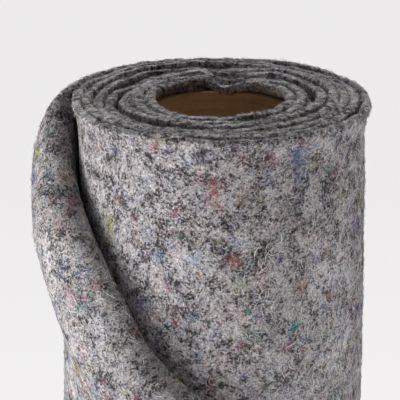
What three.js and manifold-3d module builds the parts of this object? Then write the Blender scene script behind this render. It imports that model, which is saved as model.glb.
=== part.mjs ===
// A roll of grey needle-punched felt underlay, standing on one end.
// One long sheet is wound on a cardboard tube. The outermost turn's end lies loose on the roll,
// and its top corner is turned outward and down along a slanting fold.
// Millimetres and degrees. +Z is up, and -Y is the side that is looked at: the turned corner hangs at -X.

import * as THREE from 'three';
import { mergeVertices } from 'three/addons/utils/BufferGeometryUtils.js';
import Module from 'manifold-3d';

// Driving dimensions: the tube
const tubeOuterRadius = 42;
const tubeWall = 4;
const tubeRecess = 9; // how far the tube's top lies below the felt's top
const tubeSegments = 64;

// Driving dimensions: the felt sheet and its winding
const sheetWidth = 1000; // the height of the standing roll
const feltThickness = 4.6;
const feltToTube = 0.6;
const turnPitch = 5.25; // from one turn to the next
const innerEndAngle = 103; // winding angles grow outward, anticlockwise seen from above
const looseStartAngle = 75 + 7 * 360; // from here on the outermost turn is the loose end
const freeEndAngle = 305 + 7 * 360;
const stepShare = 0.13; // the share of a turn in which an inner turn climbs over the inner end
const turnsUntilEven = 6; // after so many turns the climb is spread over the whole turn
const oval = { rise: 0.7, angle: 60 }; // the roll isn't quite round: it is widest at this angle
const turnWobble = { rise: 0.09, rate: 1.37 }; // each turn lies a little looser here and tighter there
const buttGap = 0.4;

// Driving dimensions: the ends of the roll
const grooveDepth = 9; // how deep the spiral between the turns is open at each end
const flareDepth = 14;
const flareWidth = 3.4; // how far the outermost turn leans out at the top
// The top edge sinks unevenly, fading out at its reach
const edgeSink = { mean: 1.1, slow: 0.7, quick: 0.4, reach: 200 };
// The top of the innermost turns leans in over the tube, less with each turn
const innerLean = { width: 4.4, depth: 6.5, turns: 2.5 };

// Driving dimensions: the turned corner
const foldTopAngle = 174.5 + 7 * 360; // where the fold starts at the top edge
const foldDrop = 216; // how far below the top edge the fold meets the free end
// The fold line bows toward the front, most at a third of its drop
const foldBow = { width: 10.6, fade: 90 };
const looseRadius = 83; // turns the loose turn's angles into lengths
const foldRise = { lower: 6.9, upper: 15.6 }; // the fold's height off the roll, below and above its ridge
const foldReach = { lower: 12, upper: 27.3 }; // how far from the ridge each part of the bend runs
const foldTighter = { share: 0.25, length: 26 }; // the bend is this much lower at the top edge
// Where the turned corner lies on the loose turn, and how far off it
const flapFall = { end: 68, rest: 4.95 };
const turnedShare = 0.95; // the turned layer lies farther out, so a length on it spans fewer degrees

// Where the roll's axis stands from the part's origin, which is the bottom centre of the whole
const rollAxis = { x: 11.3, y: 11.1 };

const segmentsPerTurn = 48;
const radians = Math.PI / 180;
const clamp = THREE.MathUtils.clamp;
const lerp = THREE.MathUtils.lerp;
const smooth = (t) => THREE.MathUtils.smoothstep(t, 0, 1);

// How many pitches out the winding is after a number of turns.
// The inner turns hug the one below and climb over the inner end in one step, the outer ones climb evenly.
function climb(turns) {
  const whole = Math.floor(turns);
  const stepped = whole + smooth((turns - whole - (1 - stepShare)) / stepShare);
  return lerp(stepped, turns, smooth(turns / turnsUntilEven));
}

// The radius of the sheet's middle surface at a winding angle
function windingRadius(angle) {
  const base = tubeOuterRadius + feltToTube + feltThickness / 2;
  const turns = (angle - innerEndAngle) / 360;
  const unround = oval.rise * Math.cos(2 * (angle - oval.angle) * radians) * clamp(turns / 2, 0, 1);
  const wobble = turnWobble.rise * Math.sin(turnWobble.rate * angle * radians) * smooth(turns);
  return base + turnPitch * climb(turns) + unround + wobble;
}

// How far the top edge lies below the full width, fading out downward so that the bottom is flat
function topSink(angle, depth) {
  const slow = edgeSink.slow * Math.sin(0.9 * angle * radians);
  const quick = edgeSink.quick * Math.sin(3.3 * angle * radians + 1);
  return (edgeSink.mean + slow + quick) * (1 - smooth(depth / edgeSink.reach));
}

// How far the sheet leans outward or inward near the top
function topLean(angle, depth) {
  const outward = flareWidth * (angle - innerEndAngle) / (freeEndAngle - innerEndAngle);
  const flare = outward * Math.max(0, 1 - depth / flareDepth) ** 2;
  const turns = (angle - innerEndAngle) / 360;
  const inward = innerLean.width * (1 - smooth(turns / innerLean.turns));
  return flare - inward * Math.max(0, 1 - depth / innerLean.depth);
}

// A point of the middle surface: winding angle, depth below the top edge, distance off the winding
function onRoll(angle, depth, off) {
  const radius = windingRadius(angle) + topLean(angle, depth) + off;
  return new THREE.Vector3(
    radius * Math.cos(angle * radians),
    radius * Math.sin(angle * radians),
    sheetWidth - depth - topSink(angle, depth)
  );
}

// The fold's cross section: points along the sheet from the wrapped side over the ridge to the turned side.
// across is the distance from the ridge toward the wrapped side, off is the distance off the winding.
function foldSection() {
  const points = [];
  const bendSteps = 24;
  for (let i = 0; i <= bendSteps; i++) {
    const a = (i / bendSteps) * Math.PI / 2;
    const across = foldReach.lower * (1 - Math.sin(a));
    points.push({ across, off: foldRise.lower * (1 - Math.cos(a)) });
  }
  for (let i = 1; i <= bendSteps; i++) {
    const a = (i / bendSteps) * Math.PI / 2;
    const across = foldReach.upper * (1 - Math.cos(a));
    points.push({ across, off: foldRise.lower + foldRise.upper * Math.sin(a) });
  }
  const top = foldRise.lower + foldRise.upper;
  for (let i = 0; i <= bendSteps; i++) {
    const t = i / bendSteps;
    const across = lerp(foldReach.upper, flapFall.end, t);
    points.push({ across, off: lerp(top, flapFall.rest, smooth(t)) });
  }
  points[0].along = -foldReach.lower;
  for (let i = 1; i < points.length; i++) {
    const step = Math.hypot(points[i].across - points[i - 1].across, points[i].off - points[i - 1].off);
    points[i].along = points[i - 1].along + step;
  }
  return points;
}

const section = foldSection();

// Where a point of the sheet lies in the fold's cross section
function throughFold(along) {
  const first = section[0];
  const last = section[section.length - 1];
  if (along <= first.along) return { across: -along, off: 0 };
  if (along >= last.along) return { across: last.across + along - last.along, off: last.off };
  const next = section.findIndex((p) => p.along > along);
  const before = section[next - 1];
  const t = (along - before.along) / (section[next].along - before.along);
  const after = section[next];
  return { across: lerp(before.across, after.across, t), off: lerp(before.off, after.off, t) };
}

// The fold line in the flat sheet, where x is the length from the free end back and y the depth
const freeToFold = (freeEndAngle - foldTopAngle) * radians * looseRadius;
const foldTop = new THREE.Vector2(freeToFold, 0);
const foldBottom = new THREE.Vector2(0, foldDrop);
const downFold = foldBottom.clone().sub(foldTop).normalize();
const towardCorner = new THREE.Vector2(-downFold.y, downFold.x);

// A point of the loose end's middle surface from its place in the flat sheet
function onLooseEnd(back, depth) {
  const fromTop = new THREE.Vector2(back, depth).sub(foldTop);
  const past = fromTop.dot(towardCorner);
  const down = fromTop.dot(downFold);
  const bend = throughFold(past);
  const off = bend.off * (1 - foldTighter.share * Math.exp(-Math.max(down, 0) / foldTighter.length));
  const place = foldTop.clone().addScaledVector(downFold, down).addScaledVector(towardCorner, -bend.across);
  const t = clamp(place.y / foldDrop, 0, 1);
  const fromRidge = place.x - lerp(foldTop.x, foldBottom.x, t);
  const turned = past > 0 ? smooth(off / foldRise.lower - 0.5) : 0;
  const bowShare = t * (1 - t) ** 2 / (1 / 3 * (2 / 3) ** 2);
  const bow = foldBow.width * bowShare * (1 - smooth(fromRidge / foldBow.fade));
  const length = place.x - fromRidge * (1 - turnedShare) * turned - bow;
  return onRoll(freeEndAngle - length / looseRadius / radians, place.y, off);
}

// A closed sheet of even thickness from a grid of places in the flat sheet.
// The grid may close up at its borders: what has no area there is left out.
function thickSheet(grid, middle, thickness) {
  const columns = grid.length;
  const rows = grid[0].length;
  const step = 0.05;
  const faces = [[], []];
  for (const column of grid) {
    for (const [a, b] of column) {
      const alongA = middle(a + step, b).sub(middle(a - step, b));
      const alongB = middle(a, b + step).sub(middle(a, b - step));
      const normal = alongA.cross(alongB).normalize();
      const point = middle(a, b);
      faces[0].push(point.clone().addScaledVector(normal, thickness / 2));
      faces[1].push(point.clone().addScaledVector(normal, -thickness / 2));
    }
  }
  const points = faces.flat();
  const back = faces[0].length;
  const index = [];
  const quad = (a, b, c, d) => index.push(a, b, c, a, c, d);
  const at = (i, j) => i * rows + j;
  for (let i = 0; i < columns - 1; i++) {
    for (let j = 0; j < rows - 1; j++) {
      quad(at(i, j), at(i + 1, j), at(i + 1, j + 1), at(i, j + 1));
      quad(back + at(i, j), back + at(i, j + 1), back + at(i + 1, j + 1), back + at(i + 1, j));
    }
  }
  const rim = [];
  for (let i = 0; i < columns - 1; i++) rim.push(at(i, 0));
  for (let j = 0; j < rows - 1; j++) rim.push(at(columns - 1, j));
  for (let i = columns - 1; i > 0; i--) rim.push(at(i, rows - 1));
  for (let j = rows - 1; j > 0; j--) rim.push(at(0, j));
  rim.forEach((from, i) => {
    const to = rim[(i + 1) % rim.length];
    quad(from, back + from, back + to, to);
  });
  return weld(points, index);
}

// Merges equal points and drops the triangles that lose their area by it
function weld(points, index) {
  const loose = new THREE.BufferGeometry().setFromPoints(points);
  loose.setIndex(index);
  const merged = mergeVertices(loose, 1e-3);
  const kept = [];
  const corners = merged.index.array;
  for (let i = 0; i < corners.length; i += 3) {
    const [a, b, c] = corners.slice(i, i + 3);
    if (a !== b && b !== c && c !== a) kept.push(a, b, c);
  }
  merged.setIndex(kept);
  return merged;
}

const wasm = await Module();
wasm.setup();

function asSolid(geometry) {
  const vertProperties = new Float32Array(geometry.attributes.position.array);
  const triVerts = new Uint32Array(geometry.index.array);
  return new wasm.Manifold(new wasm.Mesh({ numProp: 3, vertProperties, triVerts }));
}

function asGeometry(solid) {
  const mesh = solid.getMesh();
  const geometry = new THREE.BufferGeometry();
  geometry.setAttribute('position', new THREE.BufferAttribute(mesh.vertProperties, mesh.numProp));
  geometry.setIndex(Array.from(mesh.triVerts));
  return geometry;
}

// The wound turns as one strip, open between its turns from end to end
function turnsGeometry() {
  const rollEnd = looseStartAngle - buttGap / looseRadius / radians;
  const columns = Math.round((rollEnd - innerEndAngle) / 360 * segmentsPerTurn);
  const depths = [0, innerLean.depth, flareDepth, sheetWidth - flareDepth, sheetWidth];
  const grid = [];
  for (let i = 0; i <= columns; i++) {
    const angle = lerp(innerEndAngle, rollEnd, i / columns);
    grid.push(depths.map((depth) => [angle, depth]));
  }
  return thickSheet(grid, (angle, depth) => onRoll(angle, depth, 0), feltThickness);
}

// What fills the gaps between the turns, from one groove's floor to the other's.
// It is bounded by the middle of the outermost turn and the middle of the innermost one.
function betweenTurnsGeometry() {
  const outline = (from, to) => {
    const points = [];
    for (let i = 0; i <= segmentsPerTurn; i++) {
      const angle = lerp(from, to, i / segmentsPerTurn);
      const radius = windingRadius(angle);
      points.push(new THREE.Vector2(radius * Math.cos(angle * radians), radius * Math.sin(angle * radians)));
    }
    return points;
  };
  const fromSheetEnd = 3;
  const nearlyTurn = 359;
  const outerEnd = looseStartAngle - fromSheetEnd;
  const innerEnd = innerEndAngle + fromSheetEnd;
  const shape = new THREE.Shape(outline(outerEnd - nearlyTurn, outerEnd));
  shape.holes.push(new THREE.Path(outline(innerEnd, innerEnd + nearlyTurn)));
  const depth = sheetWidth - 2 * grooveDepth;
  const geometry = new THREE.ExtrudeGeometry(shape, { depth, bevelEnabled: false });
  geometry.translate(0, 0, grooveDepth);
  geometry.deleteAttribute('normal');
  geometry.deleteAttribute('uv');
  return mergeVertices(geometry, 1e-3);
}

function feltRollGeometry() {
  return asGeometry(asSolid(turnsGeometry()).add(asSolid(betweenTurnsGeometry())));
}

// The loose end: columns run from the turned edges over the fold line, or from the top edge, to the bottom.
// They start at the free end. The rows lie closest at the fold. Past its top the turned ones have no length.
function looseEndGeometry() {
  const wrappedLength = (freeEndAngle - looseStartAngle) * radians * looseRadius;
  const columnsOnFold = 24;
  const columnsPastFold = 12;
  const columns = columnsOnFold + columnsPastFold;
  const turnedRows = [1, 0.84, 0.7, 0.56, 0.42, 0.31, 0.23, 0.16, 0.11, 0.07, 0.035];
  const wrappedRows = [0, 0.002, 0.0045, 0.008, 0.013, 0.02, 0.035, 0.07, 0.14, 0.26, 0.44, 0.7, 1];
  const grid = [];
  for (let i = 0; i <= columns; i++) {
    const onFold = Math.min(1, i / columnsOnFold);
    const pastFold = Math.max(0, i - columnsOnFold) / columnsPastFold;
    const foot = foldBottom.clone().lerp(foldTop, onFold);
    foot.x = lerp(foot.x, wrappedLength, pastFold);
    const toTopEdge = foot.y / -towardCorner.y;
    const toFreeEnd = foot.x / -towardCorner.x;
    const reach = pastFold > 0 ? 0 : Math.min(toTopEdge, toFreeEnd);
    const bottom = new THREE.Vector2(wrappedLength * (i / columns), sheetWidth);
    const column = turnedRows.map((t) => foot.clone().addScaledVector(towardCorner, reach * t));
    wrappedRows.forEach((t) => column.push(foot.clone().lerp(bottom, t)));
    grid.push(column.map((p) => [p.x, p.y]));
  }
  return thickSheet(grid, onLooseEnd, feltThickness);
}

function tubeGeometry() {
  const inner = tubeOuterRadius - tubeWall;
  const top = sheetWidth - tubeRecess;
  const profile = [[inner, 0], [tubeOuterRadius, 0], [tubeOuterRadius, top], [inner, top], [inner, 0]];
  const points = profile.map(([radius, height]) => new THREE.Vector2(radius, height));
  return new THREE.LatheGeometry(points, tubeSegments).rotateX(Math.PI / 2);
}

const felt = new THREE.MeshStandardMaterial({ color: 0x8f8b8c, roughness: 0.96, metalness: 0 });
const looseFelt = new THREE.MeshStandardMaterial({ color: 0x858183, roughness: 0.96, metalness: 0 });
const cardboard = new THREE.MeshStandardMaterial({ color: 0x7a5638, roughness: 0.85, metalness: 0 });

function piece(name, geometry, material) {
  const mesh = new THREE.Mesh(geometry, material);
  mesh.name = name;
  return mesh;
}

const roll = new THREE.Group();
roll.position.set(rollAxis.x, rollAxis.y, 0);
roll.add(
  piece('felt_roll', feltRollGeometry(), felt),
  piece('loose_end', looseEndGeometry(), looseFelt),
  piece('core_tube', tubeGeometry(), cardboard)
);

const underlayRoll = new THREE.Group();
underlayRoll.add(roll);
export default underlayRoll;
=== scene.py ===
import math

import bpy
import numpy as np
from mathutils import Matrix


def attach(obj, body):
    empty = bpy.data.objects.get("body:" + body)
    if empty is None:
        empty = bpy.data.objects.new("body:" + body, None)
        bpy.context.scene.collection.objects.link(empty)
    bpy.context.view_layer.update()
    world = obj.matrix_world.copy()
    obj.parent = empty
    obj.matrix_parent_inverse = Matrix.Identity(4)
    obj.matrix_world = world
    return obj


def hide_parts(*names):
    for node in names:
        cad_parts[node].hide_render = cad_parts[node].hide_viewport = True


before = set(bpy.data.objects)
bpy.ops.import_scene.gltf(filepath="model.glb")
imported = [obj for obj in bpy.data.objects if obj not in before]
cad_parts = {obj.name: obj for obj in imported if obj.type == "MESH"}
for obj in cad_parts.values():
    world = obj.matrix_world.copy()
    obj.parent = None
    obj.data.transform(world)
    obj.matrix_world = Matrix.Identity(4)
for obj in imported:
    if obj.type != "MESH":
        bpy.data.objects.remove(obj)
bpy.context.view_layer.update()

METRES = 0.001

# The camera, which looks down a little on the roll's top end
LENS = 213.9
SENSOR_WIDTH = 36
CAMERA_AT = (0.00026, -1.2671, 1.3632)
CAMERA_TILT = 71.61

camera = bpy.data.objects.new("camera", bpy.data.cameras.new("camera"))
camera.data.lens = LENS
camera.data.sensor_width = SENSOR_WIDTH
camera.location = CAMERA_AT
camera.rotation_euler = (math.radians(CAMERA_TILT), 0, 0)
bpy.context.scene.collection.objects.link(camera)
bpy.context.scene.camera = camera

# The tube and the sheet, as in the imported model
TUBE_RADIUS = 42
TUBE_WALL = 4
TUBE_TOP = 991
SHEET_WIDTH = 1000
THICKNESS = 4.6
FELT_TO_TUBE = 0.6
TURN_PITCH = 5.25
INNER_END = 103
FREE_END = 305 + 7 * 360
STEP_SHARE = 0.13
TURNS_UNTIL_EVEN = 6
OVAL_RISE, OVAL_ANGLE = 0.7, 60
WOBBLE_RISE, WOBBLE_RATE = 0.09, 1.37
FLARE_DEPTH, FLARE_WIDTH, FLARE_SIDES = 24, 3.2, 1.4
SINK_MEAN, SINK_SLOW, SINK_QUICK, SINK_REACH = 1.1, 0.7, 0.4, 200
LEAN_WIDTH, LEAN_DEPTH, LEAN_SPAN = 2.6, 4, 70
FOLD_TOP_ANGLE = 174.5 + 7 * 360
FOLD_DROP = 216
# The fold line's bows: how far, at what share of the drop, and how widely
BOWS = [(6.0, 0.31, 0.12), (-4.5, 0.58, 0.09)]
BOW_FADE = 90
LOOSE_RADIUS = 83
RISE_LOWER, RISE_UPPER = 9, 13.5
REACH_LOWER, REACH_UPPER = 16, 21
TIGHTER_SHARE, TIGHTER_LENGTH = 0.32, 30
# The fold's fuller and slimmer places: by what share, how far down the fold, and how widely
SWELLS = [(-0.05, 3, 14), (0.07, 74, 17), (-0.04, 122, 18)]
FALL_END, FALL_REST = 74, 4.95
TURNED_SHARE = 0.95
ROLL_AXIS = np.array([11.3, 11.1, 0])


def smooth(t):
    """Zero up to 0 and one from 1 on, with a soft start and end between: 3 t squared less 2 t cubed."""
    t = np.clip(t, 0, 1)
    return t * t * (3 - 2 * t)


def between(a, b, t):
    """The value t of the way from a to b."""
    return a + (b - a) * t


def climb(turns):
    """Pitches out after a number of turns: one step a turn near the tube, an even climb farther out."""
    whole = np.floor(turns)
    stepped = whole + smooth((turns - whole - (1 - STEP_SHARE)) / STEP_SHARE)
    return between(stepped, turns, smooth(turns / TURNS_UNTIL_EVEN))


def winding_radius(angle):
    """The spiral: tube radius, half a thickness and the climbed pitches, with an oval and a slow wobble."""
    base = TUBE_RADIUS + FELT_TO_TUBE + THICKNESS / 2
    turns = (angle - INNER_END) / 360
    oval = OVAL_RISE * np.cos(np.radians(2 * (angle - OVAL_ANGLE))) * np.clip(turns / 2, 0, 1)
    wobble = WOBBLE_RISE * np.sin(np.radians(WOBBLE_RATE * angle)) * smooth(turns)
    return base + TURN_PITCH * climb(turns) + oval + wobble


def top_sink(angle, depth):
    """How far the top edge lies below the full width: two waves along the sheet, fading downward."""
    slow = SINK_SLOW * np.sin(np.radians(0.9 * angle))
    quick = SINK_QUICK * np.sin(np.radians(3.3 * angle) + 1)
    return (SINK_MEAN + slow + quick) * (1 - smooth(depth / SINK_REACH))


def top_lean(angle, depth):
    """How far the top leans out, growing with the turns and more to the left and right than to the front and
    back, and in at the inner end."""
    outward = FLARE_WIDTH * (angle - INNER_END) / (FREE_END - INNER_END)
    sideways = FLARE_SIDES * np.cos(np.radians(angle)) ** 2
    flare = outward * (1 + sideways / FLARE_WIDTH) * np.maximum(0, 1 - depth / FLARE_DEPTH) ** 2
    in_end = 1 - smooth((angle - INNER_END) / LEAN_SPAN)
    return flare - LEAN_WIDTH * in_end * np.maximum(0, 1 - depth / LEAN_DEPTH) ** 0.7


# How much of the slack between the turns each gap takes near the top, from the tube outward: a steady share,
# and one that is spread round a direction in degrees
GAPS = [
    (0.05, 0.5, 190, 45),
    (0.05, 2.6, 15, 60),
    (0.05, 1.3, 185, 55),
    (0.05, 0.6, 262, 30),
    (0.1, 1.1, 200, 55),
    (0.1, 1.0, 268, 35),
    (1.1, 4.2, 320, 50),
]
PACKED_PITCH = 4.3
GATHER_FROM, GATHER_TO = 12, 55

# How the inner turns lean over the tube's end, and the lobe: its reach in degrees and its share turn by turn
IN_LEAN_MEAN, IN_LEAN_OVAL, IN_LEAN_ANGLE = 4.3, 2.3, 16
UPRIGHT_SHARE, UPRIGHT_ANGLE, UPRIGHT_WIDTH = 1.2, 120, 30
IN_LEAN_DEPTH = 9.5
IN_LEAN_SHARES = [1, 0.85, 0.42, 0.17, 0.06, 0]
LOBE_DEPTH, LOBE_BEND = 15, 95
LOBE_FROM, LOBE_TO, LOBE_EASE_IN, LOBE_EASE_OUT = 102, 56, 14, 30
LOBE_SHARES = [1, 1, 0.75, 0.5, 0.25, 0]
# Turns whose top lies lower than the rest: which turn, toward what angle, how widely and how deep
SUNKEN = [
    (2, 175, 50, 1.6), (3, 165, 45, 2.6), (4, 185, 40, 2.0),
    (3, 20, 40, 0.8), (6, 318, 38, 2.4), (5, 312, 34, 1.3),
]


def gathered(angle, depth):
    """How far the turns move out near the top, where the slack between them gathers in a few gaps: the gaps
    out to this turn, each a share of the whole slack, less what an even winding would have there."""
    slack = TURN_PITCH - PACKED_PITCH
    out = np.maximum(climb((angle - INNER_END) / 360), 0)
    shares = []
    for steady, spread, towards, width in GAPS:
        away = (angle - towards + 180) % 360 - 180
        shares.append(steady + spread * np.exp(-(away / width) ** 2))
    shares = np.array(shares)
    gaps = len(GAPS) * slack * shares / shares.sum(0)
    moved = np.zeros_like(angle)
    for k, gap in enumerate(gaps):
        moved += (gap - slack) * np.clip(out - k, 0, 1)
    return moved * (1 - smooth((depth - GATHER_FROM) / (GATHER_TO - GATHER_FROM)))


def bend_table():
    """A strip that bends over toward its top: at even depths, how far it leans and how far it sinks."""
    depths = np.linspace(0, LOBE_DEPTH, 60)
    slope = np.radians(LOBE_BEND) * smooth(1 - depths / LOBE_DEPTH)
    step = depths[1]
    lean = np.cumsum(np.sin(slope)[::-1])[::-1] * step
    sink = np.cumsum(1 - np.cos(slope)[::-1])[::-1] * step
    return depths, lean, sink


BEND = bend_table()


def leaned_in(angle, depth):
    """How far the innermost turns lean over the tube's end and sink there, more to the left and right than to
    the front and back, and most in the lobe, where turns bend over beside the sheet's inner end."""
    out = np.maximum(climb((angle - INNER_END) / 360), 0)
    round_by = angle % 360
    upright = UPRIGHT_SHARE * np.exp(-((round_by - UPRIGHT_ANGLE) / UPRIGHT_WIDTH) ** 2)
    widest = IN_LEAN_MEAN + IN_LEAN_OVAL * np.cos(np.radians(2 * (round_by - IN_LEAN_ANGLE))) - upright
    turns = range(len(IN_LEAN_SHARES))
    lean = widest * np.interp(out, turns, IN_LEAN_SHARES) * smooth(1 - depth / IN_LEAN_DEPTH)
    window = smooth((LOBE_FROM - round_by) / LOBE_EASE_IN) * smooth((round_by - LOBE_TO) / LOBE_EASE_OUT)
    lobe = window * np.interp(out, turns, LOBE_SHARES)
    depths, bend_lean, bend_sink = BEND
    bent = np.interp(depth, depths, bend_lean, right=0)
    sink = lobe * np.interp(depth, depths, bend_sink, right=0)
    for turn, towards, width, lower in SUNKEN:
        away = (angle - towards + 180) % 360 - 180
        beside = np.exp(-((out - turn) / 0.7) ** 2 - (away / width) ** 2)
        sink = sink + lower * beside * smooth(1 - depth / IN_LEAN_DEPTH)
    return lean + lobe * bent, sink


def fold_section():
    """The fold's cross section: a quarter ellipse to its ridge, one out to its height, and a smooth fall."""
    quarter = np.linspace(0, np.pi / 2, 25)
    across = [REACH_LOWER * (1 - np.sin(quarter)), REACH_UPPER * (1 - np.cos(quarter[1:]))]
    off = [RISE_LOWER * (1 - np.cos(quarter)), RISE_LOWER + RISE_UPPER * np.sin(quarter[1:])]
    fall = np.linspace(0, 1, 25)
    across.append(between(REACH_UPPER, FALL_END, fall))
    off.append(between(RISE_LOWER + RISE_UPPER, FALL_REST, smooth(fall)))
    across, off = np.concatenate(across), np.concatenate(off)
    steps = np.hypot(np.diff(across), np.diff(off))
    return across, off, np.concatenate([[0], np.cumsum(steps)]) - REACH_LOWER


SECTION = fold_section()
FOLD_TOP = np.array([math.radians(FREE_END - FOLD_TOP_ANGLE) * LOOSE_RADIUS, 0])
FOLD_BOTTOM = np.array([0, FOLD_DROP])
DOWN_FOLD = (FOLD_BOTTOM - FOLD_TOP) / np.linalg.norm(FOLD_BOTTOM - FOLD_TOP)
TOWARD_CORNER = np.array([-DOWN_FOLD[1], DOWN_FOLD[0]])
WHOLE_BACK = math.radians(FREE_END - INNER_END) * LOOSE_RADIUS

# The outermost turn ends this far back from the free end, and hands over to the turns within over a length
OUTER_TURN, OUTER_FADE = 640, 60
# The sheet's part that shows from the side: how far back, how far down in the picture, and to the foot
SHOWN_BACK, SHOWN_DOWN, FOOT = 560, 250, 990


def outermost(back):
    """One on the outermost turn, falling to zero on the turns within."""
    return smooth((OUTER_TURN - back) / OUTER_FADE)


class Lumps:
    """Smooth random relief: heights from -1 to 1 on a square lattice, joined by soft steps."""

    def __init__(self, seed, size):
        self.heights = np.random.default_rng(seed).uniform(-1, 1, (256, 256))
        self.size = size

    def __call__(self, x, y):
        u, v = x / self.size, y / self.size
        i, j = np.floor(u).astype(int), np.floor(v).astype(int)
        s, t = smooth(u - i), smooth(v - j)
        i, j, h = i % 256, j % 256, self.heights
        i1, j1 = (i + 1) % 256, (j + 1) % 256
        return between(between(h[i, j], h[i1, j], s), between(h[i, j1], h[i1, j1], s), t)


wide_lumps = Lumps(1, 62)
middle_lumps = Lumps(2, 21)
edge_waves = Lumps(3, 26)
edge_nicks = Lumps(4, 7)
face_lumps = {1: Lumps(5, 8.5), -1: Lumps(6, 8.5)}
face_grain = {1: Lumps(7, 3.6), -1: Lumps(8, 3.6)}
swelling = Lumps(9, 17)
turn_waves = Lumps(10, 110)


def sheet_middle(back, depth):
    """The sheet's middle surface: a flat place goes through the fold's section where it lies past the fold
    line, then round the winding at its angle, radius and height, with slow lumps and an uneven top edge."""
    past = (back - FOLD_TOP[0]) * TOWARD_CORNER[0] + (depth - FOLD_TOP[1]) * TOWARD_CORNER[1]
    down = (back - FOLD_TOP[0]) * DOWN_FOLD[0] + (depth - FOLD_TOP[1]) * DOWN_FOLD[1]
    across_at, off_at, along_at = SECTION
    across = np.interp(past, along_at, across_at)
    across = across + np.maximum(0, past - along_at[-1]) + np.maximum(0, along_at[0] - past)
    off = np.interp(past, along_at, off_at)
    swell = sum(share * np.exp(-((down - at) / spread) ** 2) for share, at, spread in SWELLS)
    off = off * (1 + swell - TIGHTER_SHARE * np.exp(-np.maximum(down, 0) / TIGHTER_LENGTH))
    place_back = FOLD_TOP[0] + down * DOWN_FOLD[0] - across * TOWARD_CORNER[0]
    place_depth = FOLD_TOP[1] + down * DOWN_FOLD[1] - across * TOWARD_CORNER[1]
    t = np.clip(place_depth / FOLD_DROP, 0, 1)
    from_ridge = place_back - between(FOLD_TOP[0], FOLD_BOTTOM[0], t)
    turned = np.where(past > 0, smooth(off / RISE_LOWER - 0.5), 0)
    bow = sum(width * np.exp(-((t - share) / spread) ** 2) for width, share, spread in BOWS)
    bow = bow * (1 - smooth(from_ridge / BOW_FADE))
    length = place_back - from_ridge * (1 - TURNED_SHARE) * turned - bow
    angle = FREE_END - np.degrees(length / LOOSE_RADIUS)

    outer = outermost(back)
    lumps = (0.12 + 0.38 * outer) * wide_lumps(back, depth) + (0.1 + 0.14 * outer) * middle_lumps(back, depth)
    near_top = np.exp(-np.maximum(depth, 0) / 14)
    long_waves = 1.1 * turn_waves(back, 0) * (1 - outer)
    ragged = near_top * (0.6 * edge_waves(back, 0) + 0.45 * edge_nicks(back, 0) + long_waves)
    inward, dropped = leaned_in(angle, place_depth)
    radius = winding_radius(angle) + top_lean(angle, place_depth) + gathered(angle, place_depth) - inward
    height = SHEET_WIDTH - place_depth - top_sink(angle, place_depth) + ragged - dropped
    radius = radius + off + lumps
    turn = np.radians(angle)
    return np.stack([radius * np.cos(turn), radius * np.sin(turn), height], -1) + ROLL_AXIS


def unit(v):
    """Vectors shortened or lengthened to one."""
    return v / np.maximum(np.linalg.norm(v, axis=-1, keepdims=True), 1e-12)


def sheet_frame(back, depth):
    """A point of the middle surface, and the unit directions down the sheet and out of it."""
    step = 0.05
    along = sheet_middle(back + step, depth) - sheet_middle(back - step, depth)
    down = sheet_middle(back, depth + step) - sheet_middle(back, depth - step)
    return sheet_middle(back, depth), unit(down), unit(np.cross(along, down))


def sheet_skin(back, depth, side):
    """The sheet's surface: half the thickness to either side of the middle, with its lumps and its grain, and
    with flatter top edges on the inner turns than on the outermost.
    side is 1 on the outer face, -1 on the inner one, and between them round a cut edge. Also gives the
    direction straight out of the surface."""
    outer = outermost(back)
    depth = np.where(depth < EDGE_ROUND - 0.01, depth * between(FLAT_TOP, 1, outer), depth)
    point, down, out = sheet_frame(back, depth)
    bloom = 1 + 0.06 * swelling(back, depth) + 0.08 * np.exp(-depth / 4)
    relief = np.zeros_like(back)
    for face in (1, -1):
        share = np.clip(side * face, 0, 1)
        relief += share * face * (0.16 * face_lumps[face](back, depth) + 0.1 * face_grain[face](back, depth))
    squarer = between(0.4, 0.8, outer)
    reach = np.sign(side) * abs(side) ** squarer * THICKNESS / 2 * bloom + relief
    edgeward = np.sqrt(np.clip(1 - side ** 2, 0, 1)) * np.where(depth < SHEET_WIDTH / 2, -1, 1)
    facing = unit(out * side[..., None] + down * edgeward[..., None])
    return point + out * reach[..., None], facing


# The cut edges: the arc from the middle of the top edge to either face, the depth of the rounding, the rows
# of points over it, and how much of its depth is left on the inner turns
RIM_ARC = 3.3
EDGE_ROUND = 2.1
TOP_ROWS = 6
FLAT_TOP = 0.55


def sheet_loop():
    """Once round the sheet's cross section: down the outer face, round the bottom edge, up the inner face
    and round the top edge. Gives each row's depth, its side, and how coarse a grid still has the row."""
    close = [EDGE_ROUND, 2.5, 3.5, 5, 7, 9]
    upper = list(np.arange(11, 232, 2.0))
    lower = list(between(232, 985, np.linspace(0, 1, 84) ** 1.1))
    foot = [991, 995, SHEET_WIDTH - EDGE_ROUND]
    depths = np.array(close + upper + lower + foot)
    grades = [3] * len(close) + [2 if i % 2 == 0 else 1 for i in range(len(upper))]
    grades += [2 if i % 2 == 0 else 1 for i in range(len(lower))] + [3] * len(foot)
    grades = np.array(grades)
    for depth in (15, 27, 500, 970):
        grades[np.argmin(abs(depths - depth))] = 3
    bottom = np.linspace(0, np.pi, 5)[1:-1]
    top = np.linspace(np.pi, 0, TOP_ROWS + 2)[1:-1]
    round_bottom = SHEET_WIDTH - EDGE_ROUND * (1 - np.sin(bottom))
    round_top = EDGE_ROUND * (1 - np.sin(top))
    depth = [depths, round_bottom, depths[::-1], round_top]
    side = [np.ones(len(depths)), np.cos(bottom), -np.ones(len(depths)), np.cos(top)]
    grade = [grades, [3] * len(bottom), grades[::-1], [3] * len(top)]
    return np.concatenate(depth), np.concatenate(side), np.concatenate(grade)


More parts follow.
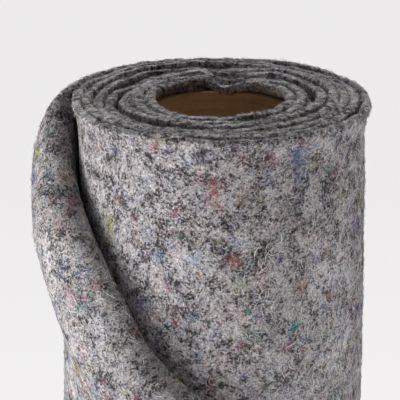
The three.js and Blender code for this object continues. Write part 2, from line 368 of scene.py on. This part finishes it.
def loop_faces(first, second, rows_first, rows_second):
    """Faces between two neighbouring loops of the sheet. The rows of one are all or some of the other's,
    and where it has fewer, each face takes in all the other's points between two of its own."""
    if len(rows_first) == len(rows_second):
        j = np.arange(len(rows_first))
        k = np.roll(j, -1)
        return np.stack([first + j, second + j, second + k, first + k], 1).tolist()
    swap = len(rows_first) > len(rows_second)
    few, many = (rows_second, rows_first) if swap else (rows_first, rows_second)
    few_at, many_at = (second, first) if swap else (first, second)
    places = np.searchsorted(many, few)
    faces = []
    for i, place in enumerate(places):
        after = (i + 1) % len(few)
        end = places[after] if after else len(many)
        fine = [many_at + p % len(many) for p in range(place, end + 1)]
        face = [few_at + i] + fine + [few_at + after]
        faces.append(face[::-1] if swap else face)
    return faces


def new_piece(name, points, faces, charts, finish):
    """A smooth mesh object in metres with its finish, and with the flat place of each corner as its map."""
    mesh = bpy.data.meshes.new(name)
    mesh.from_pydata((points * METRES).tolist(), [], faces)
    mesh.polygons.foreach_set("use_smooth", np.ones(len(mesh.polygons), bool))
    corners = np.zeros(len(mesh.loops), int)
    mesh.loops.foreach_get("vertex_index", corners)
    flat = mesh.uv_layers.new(name="OFBake")
    flat.data.foreach_set("uv", charts(corners, mesh).astype(np.float32).ravel())
    mesh.materials.append(finish)
    piece = bpy.data.objects.new(name, mesh)
    bpy.context.scene.collection.objects.link(piece)
    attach(piece, "root")
    return piece


def closed_columns(start, end, step, rounded_start, rounded_end):
    """Places along the sheet with even steps, and the share of the thickness at each: both ends are rounded
    off as the edges are, where the sheet ends there."""
    count = max(2, round((end - start) / step) + 1)
    turn = np.linspace(0, np.pi / 2, 5)[1:] * 0.96
    back, share = [], []
    if rounded_start:
        back += list(start + EDGE_ROUND * (1 - np.sin(turn[::-1])))
        share += list(np.cos(turn[::-1]))
        start += EDGE_ROUND
    if rounded_end:
        end -= EDGE_ROUND
    middle = np.linspace(start, end, count)
    back += list(middle)
    share += [1.0] * count
    if rounded_end:
        back += list(end + EDGE_ROUND * np.sin(turn))
        share += list(np.cos(turn))
    return back, share


# The felt in three stretches: the turned corner's, the rest of the outermost turn, and the turns within
STRETCHES = [
    {"start": 0, "end": 206, "step": 2.05, "grade": 1},
    {"start": 210, "end": 650, "step": 4.1, "grade": 2},
    {"start": 654.5, "end": WHOLE_BACK, "step": 4.4, "grade": 3},
]
CHART_SHARE = 0.72  # of the map's width, for the outermost turn


def felt_sheet(finish):
    """The whole sheet as loops round its cross section, one at each place along it, closed at both ends."""
    depth, side, grade = sheet_loop()
    backs, shares, picks = [], [], []
    for stretch in STRETCHES:
        first, last = stretch is STRETCHES[0], stretch is STRETCHES[-1]
        back, share = closed_columns(stretch["start"], stretch["end"], stretch["step"], first, last)
        rows = np.flatnonzero(grade >= stretch["grade"])
        backs += back
        shares += share
        picks += [rows] * len(back)
    sizes = np.array([len(rows) for rows in picks])
    starts = np.concatenate([[0], np.cumsum(sizes)[:-1]])
    all_rows = np.concatenate(picks)
    all_backs = np.repeat(backs, sizes)
    all_shares = np.repeat(shares, sizes)
    points = sheet_skin(all_backs, depth[all_rows], side[all_rows] * all_shares)[0]
    faces = []
    for i in range(len(backs) - 1):
        faces += loop_faces(starts[i], starts[i + 1], picks[i], picks[i + 1])
    for start, rows, flip in ((starts[0], picks[0], True), (starts[-1], picks[-1], False)):
        faces += end_cap(start, rows, flip)
    loop_length = np.concatenate([[0], np.cumsum(np.hypot(np.diff(depth), np.diff(side) * THICKNESS / 2))])
    loop_share = loop_length / (loop_length[-1] + 1)
    outer_end = STRETCHES[1]["end"]

    def charts(corners, mesh):
        across = np.interp(all_backs, [0, outer_end, WHOLE_BACK], [0.002, CHART_SHARE, 0.998])
        round_loop = loop_share[all_rows]
        flat = np.stack([across[corners], round_loop[corners]], 1)
        starts_at = np.zeros(len(mesh.polygons), int)
        totals = np.zeros(len(mesh.polygons), int)
        mesh.polygons.foreach_get("loop_start", starts_at)
        mesh.polygons.foreach_get("loop_total", totals)
        face_of = np.repeat(np.arange(len(totals)), totals)
        highest = np.maximum.reduceat(flat[:, 1], starts_at)
        wraps = (highest[face_of] > 0.9) & (flat[:, 1] < 0.1)
        flat[wraps, 1] = 1
        return flat

    return new_piece("felt_sheet", points, faces, charts, finish)


def end_cap(start, rows, flip):
    """Faces that close the sheet's end, each across it from one face to the other at the same depth."""
    ring = start + np.roll(np.arange(len(rows)), TOP_ROWS // 2)
    faces = []
    low, high = 0, len(rows) - 1
    while high - low > 2:
        faces.append([ring[low], ring[low + 1], ring[high - 1], ring[high]])
        low, high = low + 1, high - 1
    faces.append(list(ring[low:high + 1]))
    return faces if flip else [face[::-1] for face in faces]


def visible_face(back, depth, reach):
    """Over the outer face, or over the inner one where the corner is turned."""
    turned = (back - FOLD_TOP[0]) * TOWARD_CORNER[0] + depth * TOWARD_CORNER[1] > 0
    return (reach + RIM_ARC) * np.where(turned, -1.0, 1.0)


class Value:
    """A socket whose sums with others and with numbers add Math nodes."""

    def __init__(self, finish, socket):
        self.finish, self.socket = finish, socket

    def math(self, operation, *others):
        return self.finish.node("ShaderNodeMath", {"operation": operation}, dict(enumerate((self, *others))))

    def __add__(self, other):
        return self.math("ADD", other)

    def __mul__(self, other):
        return self.math("MULTIPLY", other)

    def __sub__(self, other):
        return self.math("SUBTRACT", other)

    def __truediv__(self, other):
        return self.math("DIVIDE", other)

    def __abs__(self):
        return self.math("ABSOLUTE")


class Finish:
    """A material built from nodes, with its patterns measured in metres on the object."""

    def __init__(self, name, roughness, sheen=0.0):
        self.material = bpy.data.materials.new(name)
        self.material.use_nodes = True
        self.tree = self.material.node_tree
        self.shader = self.tree.nodes["Principled BSDF"]
        self.shader.inputs["Roughness"].default_value = roughness
        self.shader.inputs["Sheen Weight"].default_value = sheen
        self.shader.inputs["Specular IOR Level"].default_value = 0.2
        self.place = self.node("ShaderNodeTexCoord", out="Object")

    def node(self, kind, settings=None, inputs=None, out=0):
        """Adds a node, with its settings first and then the values or links of its sockets."""
        made = self.tree.nodes.new(kind)
        for name, value in (settings or {}).items():
            if name == "stops":
                while len(made.color_ramp.elements) < len(value):
                    made.color_ramp.elements.new(0.5)
                for element, (position, colour) in zip(made.color_ramp.elements, value):
                    element.position, element.color = position, (*colour, 1)
            else:
                setattr(made, name, value)
        for name, value in (inputs or {}).items():
            if isinstance(value, Value):
                self.tree.links.new(value.socket, made.inputs[name])
            else:
                made.inputs[name].default_value = value
        return Value(self, made.outputs[out])

    def noise(self, size, detail=2.0, roughness=0.5, distortion=0.0, at=None):
        """Cloudy noise whose lumps are about size metres across."""
        inputs = {"Vector": at or self.place, "Scale": 1 / size, "Detail": detail}
        inputs.update({"Roughness": roughness, "Distortion": distortion})
        return self.node("ShaderNodeTexNoise", None, inputs)

    def rise(self, value, low, high):
        """Zero up to low and one from high on, with soft ends. A low above high turns it round."""
        inputs = {"Value": value, "From Min": low, "From Max": high}
        return self.node("ShaderNodeMapRange", {"interpolation_type": "SMOOTHSTEP"}, inputs)

    def ramp(self, value, stops):
        """A colour for each value."""
        return self.node("ShaderNodeValToRGB", {"stops": stops}, {0: value})

    def mix(self, factor, a, b, blend="MIX"):
        """Colour a turned into b by factor."""
        full = [(*c, 1) if isinstance(c, tuple) else c for c in (a, b)]
        settings = {"data_type": "RGBA", "blend_type": blend}
        return self.node("ShaderNodeMix", settings, {0: factor, 6: full[0], 7: full[1]}, 2)

    def moved(self, by, scale=(1, 1, 1), turn=(0, 0, 0)):
        """The object's coordinates moved, turned and stretched."""
        inputs = {"Vector": self.place, "Location": by, "Rotation": turn, "Scale": scale}
        return self.node("ShaderNodeMapping", None, inputs)

    def near(self, point, size, waviness):
        """One at a point given in millimetres, falling to zero at size metres from it with a ragged edge."""
        centre = tuple(c * METRES for c in point)
        ends = {0: self.place, 1: centre}
        far = self.node("ShaderNodeVectorMath", {"operation": "DISTANCE"}, ends, "Value")
        return self.rise(far / size + waviness, 1.0, 0.25)

    def finished(self, colour, height=None, depth=0.0):
        """Joins the colour and the relief, whose full height is depth metres, to the shader."""
        self.tree.links.new(colour.socket, self.shader.inputs["Base Color"])
        if height is not None:
            bump = self.node("ShaderNodeBump", None, {"Height": height, "Distance": depth}, "Normal")
            self.tree.links.new(bump.socket, self.shader.inputs["Normal"])
        return self.material


def hairs(f, size, width, by, turn):
    """Thin curved lines where a stretched cloud crosses its mean, broken into short lengths."""
    at = f.moved(by, (1, 1, 0.55), turn)
    cloud = f.noise(size, 1.0, 0.4, 0.5, at)
    line = f.rise(abs(cloud - 0.5), width, 0)
    return line * f.rise(f.noise(size * 1.3, 1.0, at=f.moved((by[2], by[0], by[1]))), 0.5, 0.6)


def tufts(f, colour, grain, size, by, share, low, high, stops):
    """Small tufts of dyed fibre: ragged blobs in some cells of a random pattern, each with its own colour."""
    cells = {"Vector": f.moved(by), "Scale": 1 / size, "Randomness": 1.0}
    far = f.node("ShaderNodeTexVoronoi", {"feature": "F1"}, cells, "Distance")
    draw = f.node("ShaderNodeTexVoronoi", {"feature": "F1"}, cells, "Color")
    parts = [f.node("ShaderNodeSeparateColor", None, {0: draw}, name) for name in ("Red", "Green", "Blue")]
    blob = f.rise(far + (grain - 0.5) * 1.3, high, low)
    chosen = f.rise(parts[0], 1 - share - 0.01, 1 - share + 0.01)
    return f.mix(blob * chosen * (parts[2] * 0.55 + 0.3), colour, f.ramp(parts[1], stops))


DYED = [
    (0.0, (0.36, 0.035, 0.05)),
    (0.17, (0.045, 0.09, 0.32)),
    (0.34, (0.44, 0.16, 0.2)),
    (0.48, (0.05, 0.27, 0.32)),
    (0.58, (0.36, 0.36, 0.08)),
    (0.7, (0.34, 0.15, 0.06)),
    (0.82, (0.60, 0.32, 0.50)),
    (0.92, (0.12, 0.10, 0.26)),
]


# The heights in metres between which the top's cut edge begins to show coarser flecks
CUT_EDGE = (0.9945, 0.9985)
FELT_RELIEF = 0.0014

# Broad patches that are paler or darker than the rest: place in the flat sheet, radius and change of tone.
# Among them is painted light: the paler patches at 487 to 553 along and 100 to 138 down, on the roll's front
# right of middle. Among them is also painted shade: the darker patches at 169 and 176 along and 14 to 27
# down, on the turned corner in the crease near the top.
TONE_AND_PAINTED_LIGHT_PATCHES = [
    (603, 31, 22, 0.08), (593, 43, 17, 0.05), (560, 69, 26, -0.05), (550, 5, 16, -0.06),
    # (507, 100), (487, 133) and (528, 138) here and (553, 115) below are painted light on the roll's front,
    # right of middle
    (489, 20, 22, -0.08), (507, 100, 34, 0.09), (487, 133, 34, 0.14), (528, 138, 42, 0.09),
    # (176, 14) here and (169, 27) below are painted shade in the crease beside the turned corner
    (553, 115, 30, 0.06), (67, 98, 32, 0.05), (80, 108, 26, 0.07), (176, 14, 15, -0.13),
    (169, 27, 11, -0.1), (149, 27, 18, 0.14), (112, 52, 24, 0.08),
]


def felt_finish():
    """Recycled needle felt: grey fibres in soft pale and dark clouds, dark pits where the needles went in,
    pale and dark hairs, faint tints, and tufts of dyed fibre. Broad paler and darker patches are added too,
    among them painted light on the roll's front right of middle and painted shade in the crease beside the
    turned corner."""
    f = Finish("felt", 0.95, 0.1)
    grain = f.noise(0.0012, 3.0, 0.65)
    pit_noise = f.noise(0.0017, 1.0, 0.5, 0.1, f.moved((0.3, 0.1, 0.2)))
    flecks = f.noise(0.0036, 3.0, 0.6, 0.2, f.moved((0.6, 0.8, 0.3)))
    clouds = f.noise(0.0105, 2.0, 0.6, 0.2, f.moved((0.7, 0.4, 0.1)))
    broad = f.noise(0.038, 1.0, 0.5, 0.3, f.moved((0.2, 0.9, 0.5)))
    pale_hairs = hairs(f, 0.0046, 0.026, (0.1, 0.2, 0.7), (0.5, 0.3, 0.2))
    more_hairs = hairs(f, 0.0066, 0.018, (0.6, 0.5, 0.3), (1.9, 0.2, 0.9))
    dark_hairs = hairs(f, 0.0036, 0.02, (0.8, 0.3, 0.4), (1.1, 0.7, 0.4))
    dark_tufts = f.rise(flecks + (clouds - 0.5) * 0.6 + (grain - 0.5) * 0.9, 0.46, 0.24)
    pits = f.rise(pit_noise + (clouds - 0.5) * 0.5, 0.40, 0.30)
    tone = (grain - 0.5) * 1.6 + (flecks - 0.5) * 0.7 + (clouds - 0.5) * 0.7 + (broad - 0.5) * 0.4 + 0.575
    tone = tone + pale_hairs * 0.2 + more_hairs * 0.2 - dark_hairs * 0.1 - dark_tufts * 0.22 - pits * 0.2
    ragged = (clouds - 0.5) * 1.2
    # The patches' tone changes include painted light on the front right of middle and painted shade in the
    # crease beside the turned corner
    for back, depth, radius, change in TONE_AND_PAINTED_LIGHT_PATCHES:
        face = np.sign(visible_face(back, depth, depth))
        centre = sheet_skin(np.array([float(back)]), np.array([float(depth)]), np.array([face]))[0][0]
        tone = tone + f.near(centre, radius * METRES, ragged) * change
    height_up = f.node("ShaderNodeSeparateXYZ", None, {0: f.place}, "Z")
    at_edge = f.rise(height_up, *CUT_EDGE)
    tone = tone + at_edge * ((flecks - 0.5) * 1.2 + (pit_noise - 0.5) * 1.0 + 0.03)
    grey = f.ramp(tone, [
        (0.0, (0.030, 0.027, 0.030)),
        (0.25, (0.108, 0.097, 0.104)),
        (0.5, (0.27, 0.248, 0.260)),
        (0.75, (0.485, 0.456, 0.468)),
        (1.0, (0.71, 0.695, 0.70)),
    ])
    tint_noise = f.noise(0.011, 2.0, 0.6, 0.7, f.moved((0.5, 0.6, 0.9)))
    tints = f.ramp(tint_noise, [
        (0.32, (0.74, 0.84, 1.0)),
        (0.42, (0.96, 0.98, 1.0)),
        (0.5, (1.0, 1.0, 0.98)),
        (0.56, (1.0, 1.0, 0.95)),
        (0.64, (1.0, 0.90, 0.90)),
        (0.74, (1.0, 0.83, 0.76)),
    ])
    colour = f.mix(0.62, grey, tints, "MULTIPLY")
    colour = tufts(f, colour, grain, 0.0052, (0.4, 0.4, 0.6), 0.16, 0.14, 0.34, DYED)
    height = grain * 0.5 + pits * -0.3 + dark_tufts * -0.4 + clouds * 0.9
    height = height + pale_hairs * 0.3 + more_hairs * 0.2
    return f.finished(colour, height, FELT_RELIEF)


def fibre_finish(name, paler):
    """Loose fibres: mostly pale and a little shiny, some dark or dyed. paler moves them toward the pale."""
    f = Finish(name, 0.7, 0.3)
    draw = f.noise(0.0035, 0.0, 0.5) + paler
    colour = f.ramp(draw, [
        (0.25, (0.06, 0.055, 0.06)),
        (0.35, (0.24, 0.22, 0.23)),
        (0.45, (0.46, 0.44, 0.45)),
        (0.56, (0.66, 0.64, 0.64)),
        (0.66, (0.80, 0.78, 0.77)),
    ])
    tinted = f.ramp(f.noise(0.006, 1.0, at=f.moved((0.3, 0.7, 0.2))), DYED)
    return f.finished(f.mix(f.rise(f.noise(0.005, 1.0), 0.6, 0.68) * 0.6, colour, tinted))


def dyed_finish():
    """Dyed fibres: each has its own colour, a little uneven."""
    f = Finish("dyed_fibres", 0.75, 0.2)
    dye = f.node("ShaderNodeAttribute", {"attribute_name": "dye"}, None, "Color")
    shade = f.ramp(f.noise(0.0011, 1.0), [(0.3, (0.6, 0.6, 0.6)), (0.7, (1.15, 1.15, 1.15))])
    return f.finished(f.mix(1.0, dye, shade, "MULTIPLY"))


def card_finish():
    """Brown wound cardboard: fibre streaks round the tube, soft blotches and fine specks."""
    f = Finish("cardboard", 0.85)
    f.shader.inputs["Specular IOR Level"].default_value = 0.3
    streaks = f.noise(0.004, 3.0, 0.6, 0.0, f.moved((0, 0, 0), (0.12, 0.12, 1.6)))
    blotches = f.noise(0.03, 3.0, 0.6, 0.3)
    specks = f.noise(0.0009, 2.0, 0.6)
    tone = (streaks - 0.5) * 0.9 + (blotches - 0.5) * 0.8 + (specks - 0.5) * 0.5 + 0.5
    colour = f.ramp(tone, [
        (0.15, (0.36, 0.225, 0.125)),
        (0.5, (0.50, 0.325, 0.19)),
        (0.85, (0.64, 0.44, 0.28)),
    ])
    return f.finished(colour, streaks + specks * 0.4, 0.0002)


def card_tube(finish):
    """The tube: a closed wall profile with eased rims, carried round the axis."""
    inner, outer, ease = TUBE_RADIUS - TUBE_WALL, TUBE_RADIUS, 0.8
    heights = np.linspace(ease, TUBE_TOP - ease, 40)[1:-1]
    straight = len(heights)
    corner = np.linspace(0, np.pi / 2, 4)
    radius = np.concatenate([
        np.full(straight, outer),
        outer - ease * (1 - np.cos(corner)),
        inner + ease * (1 - np.sin(corner)),
        np.full(straight, inner),
        inner + ease * (1 - np.cos(corner)),
        outer - ease * (1 - np.sin(corner)),
    ])
    height = np.concatenate([
        heights,
        TUBE_TOP - ease * (1 - np.sin(corner)),
        TUBE_TOP - ease * (1 - np.cos(corner)),
        heights[::-1],
        ease * (1 - np.sin(corner)),
        ease * (1 - np.cos(corner)),
    ])
    segments = 144
    turn = np.linspace(0, 2 * np.pi, segments, endpoint=False)[:, None]
    rows = len(radius)
    points = np.stack([radius * np.cos(turn), radius * np.sin(turn), height + 0 * turn], -1).reshape(-1, 3)
    i, j = np.meshgrid(np.arange(segments), np.arange(rows), indexing="ij")
    i1, j1 = (i + 1) % segments, (j + 1) % rows
    faces = np.stack([i * rows + j, i1 * rows + j, i1 * rows + j1, i * rows + j1], -1).reshape(-1, 4)

    def charts(corners, mesh):
        flat = np.stack([corners // rows / segments, corners % rows / rows], 1)
        quads = flat.reshape(-1, 4, 2)
        for axis in (0, 1):
            wraps = quads[..., axis].max(1) - quads[..., axis].min(1) > 0.5
            column = quads[..., axis]
            column[wraps[:, None] & (column < 0.5)] = 1
        return quads.reshape(-1, 2)

    return new_piece("card_tube", points + ROLL_AXIS, faces.tolist(), charts, finish)


def over_rim(reach):
    """The depth and the side at a distance from the middle of the top edge, over the outer face where it is
    above zero and over the inner face where it is below."""
    turn = np.clip(abs(reach) / RIM_ARC, 0, 1) * np.pi / 2
    depth = EDGE_ROUND * (1 - np.cos(turn)) + np.maximum(abs(reach) - RIM_ARC, 0)
    return depth, np.sin(turn) * np.sign(reach)


FIBRE_SET = 0.05  # how deep a fibre's ends are set into the felt


def fibre_piece(name, seed, places, finish, lengths, width, rings, lift, curl):
    """Loose fibres as one mesh. Each is a closed spindle of a few three-cornered rings between two points,
    along an arc that is drawn on the flat sheet and carried over to its surface, a little above it. Half of
    them have one end lifted by a share of their length, and the rest arch up between their ends."""
    rng = np.random.default_rng(seed)
    back, reach = places(rng)
    count = len(back)
    length = rng.uniform(*lengths, count)[:, None]
    steps = np.linspace(0, 1, rings + 2)[None, :]
    heading = rng.uniform(0, 2 * np.pi, count)[:, None] + rng.normal(0, curl, count)[:, None] * steps
    stride = length / (rings + 1)
    along_by = np.cumsum(np.cos(heading), 1) * stride
    across_by = np.cumsum(np.sin(heading), 1) * stride
    path_back = np.clip(back[:, None] + along_by, 1, WHOLE_BACK - 1)
    path_depth, path_side = over_rim(reach[:, None] + across_by)
    path_depth = np.minimum(path_depth, SHEET_WIDTH - EDGE_ROUND)
    point, facing = sheet_skin(path_back, path_depth, path_side)
    rise = rng.uniform(*lift, count)[:, None] * length
    loose_end = rng.uniform(0, 1, count)[:, None] < 0.5
    hover = np.where(loose_end, rise * steps ** 1.5, rise * np.sin(np.pi * steps)) - FIBRE_SET
    line = point + facing * hover[..., None]
    forward = unit(np.gradient(line, axis=1))
    sideways = unit(np.cross(facing, forward))
    upward = np.cross(forward, sideways)
    thick = width * rng.uniform(0.6, 1.4, (count, 1)) * np.sin(np.pi * steps) ** 0.5
    corners = []
    for k in range(3):
        turn = 2 * np.pi * k / 3
        corners.append(line + thick[..., None] / 2 * (sideways * np.cos(turn) + upward * np.sin(turn)))
    rings_at = np.stack(corners, 2)[:, 1:-1].reshape(count, rings * 3, 3)
    points = np.concatenate([line[:, :1], rings_at, line[:, -1:]], 1)
    size = rings * 3 + 2
    faces = [[0, 1 + (k + 1) % 3, 1 + k] for k in range(3)]
    for first in range(1, rings * 3 - 2, 3):
        for k in range(3):
            n = (k + 1) % 3
            faces += [[first + k, first + n, first + 3 + n], [first + k, first + 3 + n, first + 3 + k]]
    last = rings * 3 - 2
    faces += [[last + k, last + (k + 1) % 3, size - 1] for k in range(3)]
    all_faces = (np.array(faces)[None] + np.arange(count)[:, None, None] * size).reshape(-1, 3)
    grid = math.ceil(math.sqrt(count))

    def charts(corners, mesh):
        fibre, at = corners // size, corners % size
        ring = np.where(at == 0, 0, np.where(at == size - 1, rings + 1, (at - 1) // 3 + 1))
        u = (fibre % grid + 0.15 + 0.7 * ring / (rings + 1)) / grid
        v = (fibre // grid + 0.2 + 0.3 * ((at + 2) % 3)) / grid
        return np.stack([u, v], 1)

    return new_piece(name, points.reshape(-1, 3), all_faces.tolist(), charts, finish)


def face_places(count):
    """Random places on the outer face of the last turn and on the turned corner, mostly near the top."""
    def places(rng):
        back = rng.uniform(0, SHOWN_BACK, count)
        near = rng.uniform(0, 1, count) < 0.62
        depth = np.where(near, rng.uniform(0, SHOWN_DOWN, count), rng.uniform(SHOWN_DOWN, FOOT, count))
        return back, visible_face(back, depth, depth)
    return places


def nest_places(count, nests):
    """Random places in small nests on the faces that show, with some between them."""
    def places(rng):
        nest_back = rng.uniform(0, SHOWN_BACK, nests)
        nest_depth = SHOWN_DOWN * rng.uniform(0, 1, nests) ** 0.8
        lower = rng.uniform(0, 1, nests) < 0.35
        nest_depth = np.where(lower, rng.uniform(SHOWN_DOWN, 980, nests), nest_depth)
        nest = rng.integers(0, nests, count)
        spread = np.where(rng.uniform(0, 1, count) < 0.6, 2.5, 30)
        back = np.clip(nest_back[nest] + rng.normal(0, 1, count) * spread, 2, OUTER_TURN)
        depth = np.clip(nest_depth[nest] + rng.normal(0, 1, count) * spread, 0, 985)
        return back, visible_face(back, depth, depth)
    return places


def rim_places(count):
    """Random places over the top edge of all the turns."""
    def places(rng):
        return rng.uniform(1, WHOLE_BACK - 1, count), rng.uniform(-RIM_ARC, RIM_ARC, count)
    return places


felt = felt_sheet(felt_finish())
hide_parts("felt_roll", "loose_end")

DYES = {
    "red": (0.60, 0.06, 0.08),
    "crimson": (0.42, 0.04, 0.12),
    "pink": (0.80, 0.36, 0.56),
    "orange": (0.50, 0.22, 0.10),
    "yellow": (0.46, 0.46, 0.07),
    "green": (0.08, 0.30, 0.20),
    "teal": (0.02, 0.42, 0.48),
    "blue": (0.07, 0.18, 0.52),
    "pale blue": (0.24, 0.36, 0.56),
    "navy": (0.08, 0.10, 0.26),
    "violet": (0.20, 0.12, 0.36),
}

# Tufts that stand out on the side that is looked at: the dye, the place in the flat sheet and the radius
TUFTS = [
    ("green", 166, 11, 2.0), ("yellow", 154, 11, 1.8), ("blue", 143, 16, 1.6), ("orange", 154, 34, 2.2),
    ("crimson", 143, 46, 3.4), ("yellow", 643, 51, 2.1), ("yellow", 641, 56, 2.4), ("yellow", 639, 62, 2.4),
    ("pink", 99, 64, 1.7), ("pink", 95, 68, 1.8), ("teal", 94, 76, 1.8), ("red", 108, 76, 1.4),
    ("red", 596, 103, 1.7), ("blue", 613, 52, 1.1), ("pale blue", 608, 66, 2.2), ("pale blue", 588, 66, 2.0),
    ("red", 608, 1, 0.9), ("red", 609, 5, 1.2), ("red", 576, 23, 2.2), ("red", 576, 31, 2.6),
    ("orange", 650, 11, 2.6), ("crimson", 597, 39, 1.6), ("orange", 89, 106, 1.3), ("red", 53, 70, 1.3),
    ("red", 40, 70, 1.4), ("pink", 71, 84, 1.5), ("red", 49, 98, 1.5), ("yellow", 68, 134, 1.2),
    ("violet", 616, 96, 2.4), ("navy", 526, 12, 5.5), ("blue", 528, 9, 4.5), ("pale blue", 524, 14, 5.0),
    ("crimson", 543, 11, 2.0), ("crimson", 526, 3, 1.6), ("yellow", 517, 17, 1.5), ("orange", 560, 29, 1.6),
    ("orange", 564, 67, 2.2), ("red", 566, 66, 1.4), ("yellow", 564, 79, 1.6), ("crimson", 551, 76, 1.3),
    ("red", 548, 83, 0.9), ("teal", 528, 108, 1.8), ("teal", 530, 108, 1.3), ("orange", 524, 85, 3.2),
    ("orange", 503, 97, 2.6), ("blue", 474, 64, 1.8), ("blue", 470, 115, 1.4), ("blue", 469, 141, 1.4),
    ("yellow", 468, 84, 1.3), ("red", 474, 106, 1.2), ("crimson", 532, 120, 1.9), ("violet", 560, 133, 1.6),
    ("crimson", 560, 116, 1.6), ("green", 547, 141, 1.2), ("violet", 534, 146, 1.8), ("blue", 586, 97, 1.2),
]


def dyed_tufts(name, seed, tufts, more, finish):
    """Tufts of dyed fibres: the ones in the table, and more at random over the faces that show."""
    rng = np.random.default_rng(seed)
    dyes = list(DYES)
    for k in range(more):
        down = rng.uniform(2, 985) if k % 3 == 0 else rng.uniform(2, 260)
        dye = dyes[rng.integers(len(dyes))]
        tufts = tufts + [(dye, rng.uniform(5, OUTER_TURN), down, rng.uniform(0.4, 1.1))]
    backs, depths, colours = [], [], []
    for dye, back, depth, radius in tufts:
        count = round(8 + 10 * radius + 3 * radius ** 2)
        backs.append(rng.normal(back, radius * 0.6, count))
        depths.append(rng.normal(depth, radius * 0.6, count))
        grey = rng.uniform(0, 0.2 if radius < 2.5 else 0.5, (count, 1))
        colours.append(between(np.array(DYES[dye])[None], np.full(3, 0.35), grey))
    backs = np.clip(np.concatenate(backs), 2, 700)
    depths = np.clip(np.concatenate(depths), 0, FOOT)
    reach = visible_face(backs, depths, depths)
    rings = 2
    piece = fibre_piece(name, seed + 1, lambda rng: (backs, reach), finish,
                        lengths=(1.5, 4.5), width=0.27, rings=rings, lift=(0, 0.05), curl=1.6)
    tints = np.repeat(np.concatenate(colours), rings * 3 + 2, 0)
    dye = piece.data.color_attributes.new("dye", "FLOAT_COLOR", "POINT")
    dye.data.foreach_set("color", np.column_stack([tints, np.ones(len(tints))]).ravel())
    return piece


loose = fibre_finish("fibres", 0.0)
face_fibres = fibre_piece("face_fibres", 21, face_places(15000), loose,
                          lengths=(2.5, 7.5), width=0.22, rings=2, lift=(0.02, 0.16), curl=1.2)
rim_fibres = fibre_piece("rim_fibres", 22, rim_places(15500), loose,
                         lengths=(1.5, 5.5), width=0.22, rings=2, lift=(0.05, 0.3), curl=1.2)
wisps = fibre_piece("wisps", 23, nest_places(5200, 330), fibre_finish("pale_fibres", 0.17),
                    lengths=(4, 13), width=0.4, rings=6, lift=(0.01, 0.05), curl=2.8)
dyed = dyed_tufts("dyed_tufts", 24, TUFTS, 420, dyed_finish())

tube = card_tube(card_finish())
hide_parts("core_tube")


def studio_floor():
    """A wide flat floor in one pale tone, which also glows a little, as a brightly lit studio floor does."""
    finish = Finish("floor", 0.9)
    patches = finish.noise(0.5, 2.0)
    tone = finish.ramp(patches, [(0.3, (0.08, 0.079, 0.079)), (0.7, (0.085, 0.084, 0.084))])
    finish.shader.inputs["Emission Color"].default_value = (1.0, 0.985, 0.985, 1)
    finish.shader.inputs["Emission Strength"].default_value = FLOOR_GLOW
    rings, sides = 60, 96
    radius = np.linspace(0.02, FLOOR_RADIUS, rings)[:, None]
    turn = np.linspace(0, 2 * np.pi, sides, endpoint=False)
    points = np.stack([radius * np.cos(turn), radius * np.sin(turn), 0 * radius * turn], -1).reshape(-1, 3)
    i, j = np.meshgrid(np.arange(rings - 1), np.arange(sides), indexing="ij")
    here, beyond, next_j = i * sides, (i + 1) * sides, (j + 1) % sides
    faces = np.stack([here + j, beyond + j, beyond + next_j, here + next_j], -1).reshape(-1, 4)
    mesh = bpy.data.meshes.new("floor")
    mesh.from_pydata(points.tolist(), [], faces.tolist() + [list(range(sides))])
    mesh.materials.append(finish.finished(tone))
    floor = bpy.data.objects.new("floor", mesh)
    bpy.context.scene.collection.objects.link(floor)


def soft_light(name, at, towards, size, power):
    """A square lamp of a given size in metres that faces a point."""
    lamp = bpy.data.lights.new(name, "AREA")
    lamp.size, lamp.energy = size, power
    holder = bpy.data.objects.new(name, lamp)
    holder.location = at
    facing = np.array(towards) - np.array(at)
    pitch = math.atan2(math.hypot(facing[0], facing[1]), -facing[2])
    holder.rotation_euler = (pitch, 0, math.atan2(facing[1], facing[0]) - math.pi / 2)
    holder.visible_camera = False
    bpy.context.scene.collection.objects.link(holder)


def studio_surroundings():
    """Faint soft light from above, which fades to none toward the horizon."""
    world = bpy.data.worlds.new("studio")
    world.use_nodes = True
    tree = world.node_tree
    place = tree.nodes.new("ShaderNodeTexCoord")
    split = tree.nodes.new("ShaderNodeSeparateXYZ")
    ramp = tree.nodes.new("ShaderNodeValToRGB")
    tree.links.new(place.outputs["Generated"], split.inputs[0])
    tree.links.new(split.outputs["Z"], ramp.inputs[0])
    tree.links.new(ramp.outputs[0], tree.nodes["Background"].inputs["Color"])
    glows = ((0.05, HORIZON_GLOW), (0.7, OVERHEAD_GLOW))
    for element, (position, glow) in zip(ramp.color_ramp.elements, glows):
        element.position, element.color = position, (glow, glow, glow, 1)
    bpy.context.scene.world = world


FLOOR_RADIUS = 14
FLOOR_GLOW = 0.832
HORIZON_GLOW = 0.0
OVERHEAD_GLOW = 0.11
TOP_OF_ROLL = (0, 0, 0.9)
LAMP_SIZE = 1.0

studio_floor()
studio_surroundings()
for name, at, power in (
    ("left_light", (-1.924, -0.516, 0.726), 36),
    ("front_left_light", (-1.409, -1.409, 0.726), 9),
    ("front_right_light", (1.130, -1.613, 0.553), 4),
    ("low_front_light", (-0.301, -1.706, -0.1), 6),
    ("right_light", (1.962, 0.346, 0.726), 9),
    ("back_light", (0, 1.638, 2.047), 43),
):
    soft_light(name, at, TOP_OF_ROLL, LAMP_SIZE, power)
bpy.context.scene.view_settings.view_transform = "Standard"
